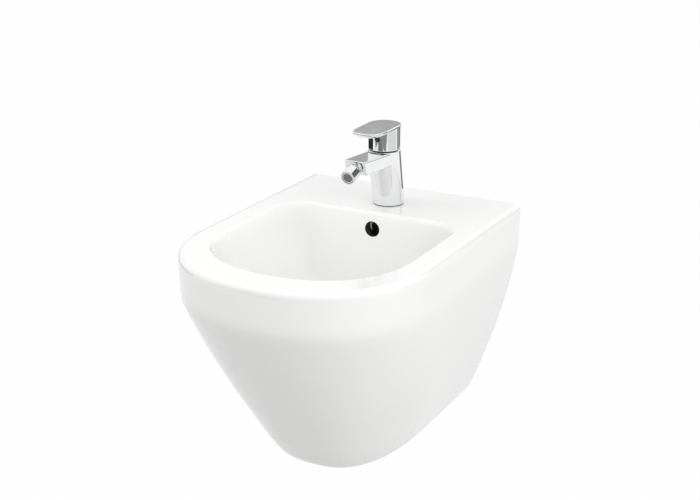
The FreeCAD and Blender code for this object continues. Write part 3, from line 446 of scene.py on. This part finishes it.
# Lever: a drum with a relieved skirt under a broad flat leaf with a sloped belly
lever = {"axisY": -0.101, "radius": 0.0235, "low": 0.1791, "top": 0.213,
         "bore": 0.021, "boreTop": 0.205, "relief": 23.0, "edge": 0.0005,
         "leafTop": 0.2158, "back": 0.0246, "straight": 0.020, "reach": 0.071, "roundShare": 0.6,
         "rim": 0.003, "bellyInset": 0.006, "bellyDepth": 0.007, "bellyFlat": 0.003,
         "topFlat": 0.005, "leafEdge": 0.0009,
         "backSteps": 40, "sideSteps": 4, "frontSteps": 24}


def leafRing(form, inset, level):
    half, reach, straight = form["back"] - inset, form["reach"] - inset, form["straight"]
    backSteps, sideSteps, frontSteps = form["backSteps"], form["sideSteps"], form["frontSteps"]
    turns = [math.pi * i / backSteps for i in range(backSteps)]
    loop = [(half * math.cos(turn), half * math.sin(turn)) for turn in turns]
    loop += [(-half, -straight * i / sideSteps) for i in range(sideSteps)]
    # Closer points towards both ends of each quarter of the front
    eased = [1 - math.cos(math.pi * i / frontSteps) for i in range(frontSteps + 1)]
    quarter = [math.pi / 4 * share for share in eased]
    for turn in quarter[:-1] + [math.pi - turn for turn in reversed(quarter)]:
        across, along = math.cos(turn), math.sin(turn)
        x = -half * math.copysign(abs(across) ** form["roundShare"], across)
        loop.append((x, -straight - (reach - straight) * abs(along) ** form["roundShare"]))
    loop += [(half, -straight * i / sideSteps) for i in range(sideSteps - 1, 0, -1)]
    return [Vector((x, form["axisY"] + y, form["leafTop"] + level)) for x, y in loop]


def makeLever(form):
    shape = bmesh.new()
    radius, bore, low, top = form["radius"], form["bore"], form["low"], form["top"]
    slope = math.tan(math.radians(form["relief"]))

    def drumRing(reach, level, relieved):
        ring = ringAbout((0, form["axisY"], level), (0, 0, 1), reach)
        lift = slope if relieved else 0
        return [point + Vector((0, 0, max(0, point.y - form["axisY"]) * lift)) for point in ring]

    skirt = softProfile([(bore, low), (radius, low), (radius, top)], form["edge"])
    drum = [drumRing(bore, form["boreTop"], False), drumRing(bore, low, True)]
    drum += [drumRing(*point, True) for point in skirt[1:-1]] + [drumRing(radius, top, False)]
    stackRings(shape, drum, inside=1)
    deep, inset = form["bellyDepth"], form["bellyInset"]
    edge = [(inset + form["bellyFlat"], -deep), (inset, -deep), (0, -form["rim"]), (0, 0),
            (form["topFlat"], 0)]
    stackRings(shape, [leafRing(form, *point) for point in softProfile(edge, form["leafEdge"])])
    finishPiece("leverCasting", shape, "lever", ["chrome", "zinc"], ["lever_handle"])


makeLever(lever)


# Nozzle: a turned sleeve with a ball seat behind its bore, and a lip round the jets
nozzle = {"face": (0, -0.191308, 0.169035), "along": (0, -0.95882, -0.28402),
          "rear": 0.0061, "ball": 0.0115, "seatSteps": 6, "end": 0.0260, "radius": 0.01075,
          "chamfer": 0.0012, "bore": 0.0091, "edge": 0.00028,
          "lip": (0.0071, 0.0082), "lipSink": 0.0006, "lipRise": 0.0003,
          "jetFace": 0.0252, "jetPitch": 0.0029, "jetRings": (1, 6, 12),
          "jetRadius": 0.00098, "jetWire": 0.00022}


def makeNozzle(form):
    shape = bmesh.new()
    along = Vector(form["along"])
    rear, end, bore, radius = form["rear"], form["end"], form["bore"], form["radius"]

    def turned(profile):
        return [ringAbout(Vector(form["face"]) + along * ahead, along, reach)
                for reach, ahead in profile]

    seat = [(bore, end), (bore, form["ball"])]
    for i in range(1, form["seatSteps"] + 1):
        back = (form["ball"] - rear) * i / form["seatSteps"]
        seat.append((math.sqrt(bore ** 2 - back ** 2), form["ball"] - back))
    outside = softProfile([seat[-1], (radius - form["chamfer"], rear),
                           (radius, rear + form["chamfer"]), (radius, end), seat[0]],
                          form["edge"])
    stackRings(shape, turned(seat + outside[1:-1]), inside=len(seat) - 1, loop=True)
    inner, outer = form["lip"]
    low, high = form["jetFace"] - form["lipSink"], form["jetFace"] + form["lipRise"]
    lip = [(inner, low), (outer, low), (outer, high), (inner, high)]
    stackRings(shape, turned(lip), loop=True)
    finishPiece("nozzleCasting", shape, "nozzle", ["chrome", "zinc"], ["nozzle_sleeve"])


makeNozzle(nozzle)
print("castings plated, mixer, lever and nozzle")


# Node trees for what repeats: a wire coil, and small rings on the points of a mesh
growing = {"coilSteps": 40, "ringSteps": 24, "wireSides": 8, "merge": 1e-7, "sharp": 50.0}


def startTree(name, sockets):
    tree = bpy.data.node_groups.new(name, "GeometryNodeTree")
    tree.interface.new_socket(name="Geometry", in_out="OUTPUT", socket_type="NodeSocketGeometry")
    for label, kind in sockets:
        tree.interface.new_socket(name=label, in_out="INPUT", socket_type="NodeSocket" + kind)
    return tree, place(tree, "NodeGroupInput").outputs


def endTree(tree, geometry, finish):
    real = place(tree, "GeometryNodeRealizeInstances")
    paint = place(tree, "GeometryNodeSetMaterial")
    tree.links.new(geometry, real.inputs[0])
    tree.links.new(real.outputs[0], paint.inputs["Geometry"])
    tree.links.new(finish, paint.inputs["Material"])
    tree.links.new(paint.outputs[0], place(tree, "NodeGroupOutput").inputs[0])


def windTree():
    tree, given = startTree("wireCoil", [("Turns", "Float"), ("Radius", "Float"),
                                         ("Height", "Float"), ("Wire", "Float"), ("Sides", "Int"),
                                         ("Closed Ends", "Float"), ("Foot", "Vector"),
                                         ("Finish", "Material")])
    spiral = place(tree, "GeometryNodeCurveSpiral")
    spiral.inputs["Resolution"].default_value = growing["coilSteps"]
    spiral.inputs["Height"].default_value = 0.0
    tree.links.new(given["Turns"], spiral.inputs["Rotations"])
    tree.links.new(given["Radius"], spiral.inputs["Start Radius"])
    tree.links.new(given["Radius"], spiral.inputs["End Radius"])
    # The climb slows down at both ends where the coil is closed
    share = place(tree, "GeometryNodeSplineParameter").outputs["Factor"]
    eased = place(tree, "ShaderNodeMapRange", interpolation_type="SMOOTHSTEP")
    tree.links.new(share, eased.inputs["Value"])
    mix = place(tree, "ShaderNodeMix", data_type="FLOAT")
    tree.links.new(given["Closed Ends"], mix.inputs["Factor"])
    tree.links.new(share, mix.inputs["A"])
    tree.links.new(eased.outputs["Result"], mix.inputs["B"])
    climb = place(tree, "ShaderNodeMath", operation="MULTIPLY")
    tree.links.new(mix.outputs["Result"], climb.inputs[0])
    tree.links.new(given["Height"], climb.inputs[1])
    upward = place(tree, "ShaderNodeCombineXYZ")
    tree.links.new(climb.outputs[0], upward.inputs["Z"])
    lift = place(tree, "GeometryNodeSetPosition")
    tree.links.new(spiral.outputs[0], lift.inputs["Geometry"])
    tree.links.new(upward.outputs[0], lift.inputs["Offset"])
    wire = place(tree, "GeometryNodeCurvePrimitiveCircle")
    tree.links.new(given["Sides"], wire.inputs["Resolution"])
    tree.links.new(given["Wire"], wire.inputs["Radius"])
    sweep = place(tree, "GeometryNodeCurveToMesh")
    sweep.inputs["Fill Caps"].default_value = True
    tree.links.new(lift.outputs[0], sweep.inputs["Curve"])
    tree.links.new(wire.outputs[0], sweep.inputs["Profile Curve"])
    move = place(tree, "GeometryNodeTransform")
    tree.links.new(sweep.outputs[0], move.inputs["Geometry"])
    tree.links.new(given["Foot"], move.inputs["Translation"])
    endTree(tree, move.outputs[0], given["Finish"])
    return tree


def ringTree():
    tree, given = startTree("pointRings", [("Points", "Geometry"), ("Radius", "Float"),
                                           ("Wire", "Float"), ("Tilt", "Rotation"),
                                           ("Finish", "Material")])
    path = place(tree, "GeometryNodeCurvePrimitiveCircle")
    wire = place(tree, "GeometryNodeCurvePrimitiveCircle")
    path.inputs["Resolution"].default_value = growing["ringSteps"]
    wire.inputs["Resolution"].default_value = growing["wireSides"]
    tree.links.new(given["Radius"], path.inputs["Radius"])
    tree.links.new(given["Wire"], wire.inputs["Radius"])
    sweep = place(tree, "GeometryNodeCurveToMesh")
    tree.links.new(path.outputs[0], sweep.inputs["Curve"])
    tree.links.new(wire.outputs[0], sweep.inputs["Profile Curve"])
    scatter = place(tree, "GeometryNodeInstanceOnPoints")
    tree.links.new(given["Points"], scatter.inputs["Points"])
    tree.links.new(sweep.outputs[0], scatter.inputs["Instance"])
    tree.links.new(given["Tilt"], scatter.inputs["Rotation"])
    endTree(tree, scatter.outputs[0], given["Finish"])
    return tree


def growPiece(name, tree, values, body, nodes=(), points=()):
    carrier = bpy.data.meshes.new(name)
    carrier.from_pydata(points, [], [])
    piece = bpy.data.objects.new(name, carrier)
    scene.collection.objects.link(piece)
    grow = piece.modifiers.new("grow", "NODES")
    grow.node_group = tree
    for item in tree.interface.items_tree:
        if item.in_out == "INPUT" and item.name in values:
            grow[item.identifier] = values[item.name]
    grown = piece.evaluated_get(bpy.context.evaluated_depsgraph_get())
    made = bpy.data.meshes.new_from_object(grown)
    piece.modifiers.clear()
    piece.data = made
    shape = bmesh.new()
    shape.from_mesh(made)
    bmesh.ops.remove_doubles(shape, verts=shape.verts, dist=growing["merge"])
    bmesh.ops.recalc_face_normals(shape, faces=shape.faces)
    shape.to_mesh(made)
    shape.free()
    made.shade_smooth()
    made.set_sharp_from_angle(angle=math.radians(growing["sharp"]))
    if body:
        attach(piece, body)
    if nodes:
        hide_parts(*nodes)
    return piece


coils = {
    "wasteThread": {"Turns": 10.0, "Radius": 0.0208, "Height": 0.020, "Wire": 0.00055, "Sides": 6,
                    "Closed Ends": 0.0, "Foot": (0, -0.25, -0.1385), "slot": "chrome"},
    "studThread": {"Turns": 15.0, "Radius": 0.0039, "Height": 0.0185, "Wire": 0.00035, "Sides": 6,
                   "Closed Ends": 0.0, "Foot": (0, -0.078, 0.0445), "slot": "steel"},
    "plugSpring": {"Turns": 7.0, "Radius": 0.0034, "Height": 0.0130, "Wire": 0.0005, "Sides": 10,
                   "Closed Ends": 0.75, "Foot": (0, -0.25, -0.1105), "slot": "steel"},
}
coilTree = windTree()
for name, coil in coils.items():
    coil["Finish"] = finishes[coil["slot"]]
    if name == "plugSpring":  # joins no body; its transform is baked into the mesh
        grown = growPiece(name, coilTree, coil, None, ["plug_spring"])
        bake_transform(grown)
    else:
        growPiece(name, coilTree, coil, "fixture")


def jetPoints(form):
    along, across = Vector(form["along"]), Vector((1, 0, 0))
    upward = along.cross(across)
    middle = Vector(form["face"]) + along * form["jetFace"]
    points = []
    for order, count in enumerate(form["jetRings"]):
        reach = form["jetPitch"] * order
        for i in range(count):
            turn = 2 * math.pi * i / count
            points.append(middle + (across * math.cos(turn) + upward * math.sin(turn)) * reach)
    return points


tilt = Vector(nozzle["along"]).to_track_quat("Z", "Y").to_euler()
jets = {"Radius": nozzle["jetRadius"], "Wire": nozzle["jetWire"], "Tilt": tilt,
        "Finish": finishes["grey_plastic"]}
growPiece("jetRings", ringTree(), jets, "nozzle", (), jetPoints(nozzle))
print("coils and jet rings grown,", len(coils) + 1, "pieces")


# The other solids: node, slot and edge rounding
fittings = {
    "wall_sleeves": ("white_plastic", 0.0004),
    "wall_washers": ("steel", 0.0003),
    "wall_nuts": ("steel", 0.0004),
    "base_seal": ("rubber", 0.0002),
    "mounting_stud": ("steel", 0.0003),
    "clamp_gasket": ("rubber", 0.0004),
    "clamp_plate": ("steel", 0.0003),
    "clamp_nut": ("brass", 0.0003),
    "inlet_block": ("brass", 0.0004),
    "port_seals": ("rubber", 0.0),
    "cartridge_base": ("grey_plastic", 0.0002),
    "fixed_disc": ("disc_ceramic", 0.0),
    "moving_disc": ("disc_ceramic", 0.0),
    "disc_carrier": ("grey_plastic", 0.0002),
    "cartridge_housing": ("grey_plastic", 0.0002),
    "turret": ("white_plastic", 0.0),
    "pivot_pin": ("steel", 0.0),
    "lever_stem": ("brass", 0.0),
    "cartridge_nut": ("brass", 0.0002),
    "slip_ring": ("black_plastic", 0.0),
    "handle_screw": ("steel", 0.0002),
    "index_plug": ("black_plastic", 0.0003),
    "ball_nipple": ("chrome", 0.0002),
    "nipple_seal": ("rubber", 0.0002),
    "ball_liner": ("white_plastic", 0.0),
    "nozzle_seal": ("rubber", 0.0),
    "aerator": ("grey_plastic", 0.0),
    "waste_body": ("chrome", 0.0003),
    "waste_top_seal": ("rubber", 0.0003),
    "waste_bottom_seal": ("rubber", 0.0006),
    "waste_nut": ("brass", 0.0005),
    "click_housing": ("brass", 0.0002),
    "plug_stem": ("steel", 0.0002),
    "plug_cap": ("chrome", 0.0004),
    "plug_seal": ("rubber", 0.0),
}
for node, (slot, edge) in fittings.items():
    finishPiece(node + "_dressed", copyNode(node), bodyOf[node], [slot], [node], edge)
print("fittings dressed,", len(fittings))


# Studio: pale floor, soft world, three softboxes, and cards that only reflections see
studio = {"floorLevel": -0.31, "floorReach": 18.0, "floorColour": (0.49, 0.49, 0.49),
          "floorGlow": 0.985, "fill": 0.742, "backdrop": 1.0}
lamps = {
    "keySoftbox": {"place": (2.35, -1.25, 1.1), "aim": (0.0, -0.25, 0.0), "size": 2.4,
                   "power": 34.5},
    "leftSoftbox": {"place": (-1.9, -1.3, 1.5), "aim": (0.0, -0.20, 0.0), "size": 2.0,
                    "power": 17.0},
    "topSoftbox": {"place": (-0.2, -0.7, 2.5), "aim": (0.0, -0.25, 0.0), "size": 1.6,
                   "power": 4.5},
}
cards = {
    "farCard": {"centre": (-5.6, 12.0, 1.9), "width": 6.0, "height": 3.9, "turn": 0.0,
                "tone": 0.42},
    "backCard": {"centre": (-0.07, 0.35, -0.04), "width": 0.56, "height": 0.32, "turn": 0.0,
                 "tone": 0.22},
    "edgeCard": {"centre": (0.37, 0.37, 0.046), "width": 0.266, "height": 0.057, "turn": -38.0,
                 "tone": 0.33},
    "sleeveCard": {"centre": (0.49, 0.37, 0.50), "width": 0.24, "height": 0.82, "turn": 0.0,
                   "tone": 0.12},
    "frontCard": {"centre": (0.0, -1.5, -0.17), "width": 5.4, "height": 0.28, "turn": 0.0,
                  "tone": 0.26},
    "rightCard": {"centre": (1.5, -0.3, -0.17), "width": 2.2, "height": 0.28, "turn": 90.0,
                  "tone": 0.75},
    "leftCard": {"centre": (-0.64, 0.66, -0.08), "width": 0.6, "height": 0.42, "turn": 40.0,
                 "tone": 0.03},
    "sideCard": {"centre": (-0.9, 0.1, -0.0725), "width": 1.4, "height": 0.115, "turn": 90.0,
                 "tone": 0.03},
    "roomCard": {"centre": (0.0, -3.0, 1.3), "width": 2.0, "height": 0.8, "turn": 0.0,
                 "tone": 0.22},
}


def seenDirectly(tree):
    # One for camera, glossy and transmission rays, nought for the light that fills shadows
    path = place(tree, "ShaderNodeLightPath")
    first = place(tree, "ShaderNodeMath", operation="MAXIMUM")
    second = place(tree, "ShaderNodeMath", operation="MAXIMUM")
    tree.links.new(path.outputs["Is Camera Ray"], first.inputs[0])
    tree.links.new(path.outputs["Is Glossy Ray"], first.inputs[1])
    tree.links.new(first.outputs["Value"], second.inputs[0])
    tree.links.new(path.outputs["Is Transmission Ray"], second.inputs[1])
    return second.outputs["Value"]


def emptyMaterial(name):
    material = bpy.data.materials.new(name)
    material.use_nodes = True
    tree = material.node_tree
    tree.nodes.clear()
    return material, tree, place(tree, "ShaderNodeOutputMaterial").inputs["Surface"]


def addPlane(name, matrix, width, height, material):
    mesh = bpy.data.meshes.new(name)
    right, top = width / 2, height / 2
    corners = [(-right, 0, -top), (right, 0, -top), (right, 0, top), (-right, 0, top)]
    mesh.from_pydata([matrix @ Vector(corner) for corner in corners], [], [(0, 1, 2, 3)])
    mesh.materials.append(material)
    plane = bpy.data.objects.new(name, mesh)
    scene.collection.objects.link(plane)
    return plane


def layFloor():
    material, tree, surface = emptyMaterial("paleFloor")
    paint = place(tree, "ShaderNodeBsdfDiffuse")
    paint.inputs["Color"].default_value = (*studio["floorColour"], 1.0)
    glow = place(tree, "ShaderNodeEmission")
    share = place(tree, "ShaderNodeMath", operation="MULTIPLY")
    share.inputs[1].default_value = studio["floorGlow"]
    mix = place(tree, "ShaderNodeMixShader")
    tree.links.new(seenDirectly(tree), share.inputs[0])
    tree.links.new(share.outputs["Value"], mix.inputs["Fac"])
    tree.links.new(paint.outputs["BSDF"], mix.inputs[1])
    tree.links.new(glow.outputs["Emission"], mix.inputs[2])
    tree.links.new(mix.outputs["Shader"], surface)
    lower = Matrix.Translation((0, 0, studio["floorLevel"]))
    lie = lower @ Matrix.Rotation(math.radians(-90), 4, "X")
    addPlane("paleFloor", lie, 2 * studio["floorReach"], 2 * studio["floorReach"], material)


def hangCard(name, card):
    material, tree, surface = emptyMaterial(name)
    glow = place(tree, "ShaderNodeEmission")
    glow.inputs["Strength"].default_value = card["tone"]
    tree.links.new(glow.outputs["Emission"], surface)
    turn = Matrix.Rotation(math.radians(card["turn"]), 4, "Z")
    stand = Matrix.Translation(card["centre"]) @ turn
    plane = addPlane(name, stand, card["width"], card["height"], material)
    plane.visible_camera = False
    plane.visible_diffuse = False
    plane.visible_shadow = False


def lightWorld():
    world = bpy.data.worlds.new("studioWorld")
    scene.world = world
    world.use_nodes = True
    tree = world.node_tree
    tree.nodes.clear()
    output = place(tree, "ShaderNodeOutputWorld")
    sky = place(tree, "ShaderNodeBackground")
    sky.inputs["Color"].default_value = (1.0, 1.0, 1.0, 1.0)
    level = place(tree, "ShaderNodeMapRange")
    level.inputs["To Min"].default_value = studio["fill"]
    level.inputs["To Max"].default_value = studio["backdrop"]
    tree.links.new(seenDirectly(tree), level.inputs["Value"])
    tree.links.new(level.outputs["Result"], sky.inputs["Strength"])
    tree.links.new(sky.outputs["Background"], output.inputs["Surface"])


def hangLamp(name, lamp):
    data = bpy.data.lights.new(name, "AREA")
    data.shape = "SQUARE"
    data.size = lamp["size"]
    data.energy = lamp["power"]
    box = bpy.data.objects.new(name, data)
    scene.collection.objects.link(box)
    box.location = lamp["place"]
    aim = Vector(lamp["aim"]) - Vector(lamp["place"])
    box.rotation_mode = "QUATERNION"
    box.rotation_quaternion = aim.to_track_quat("-Z", "Y")
    box.visible_glossy = False


layFloor()
lightWorld()
for name, lamp in lamps.items():
    hangLamp(name, lamp)
for name, card in cards.items():
    hangCard(name, card)
print("studio lit,", len(cards), "cards")
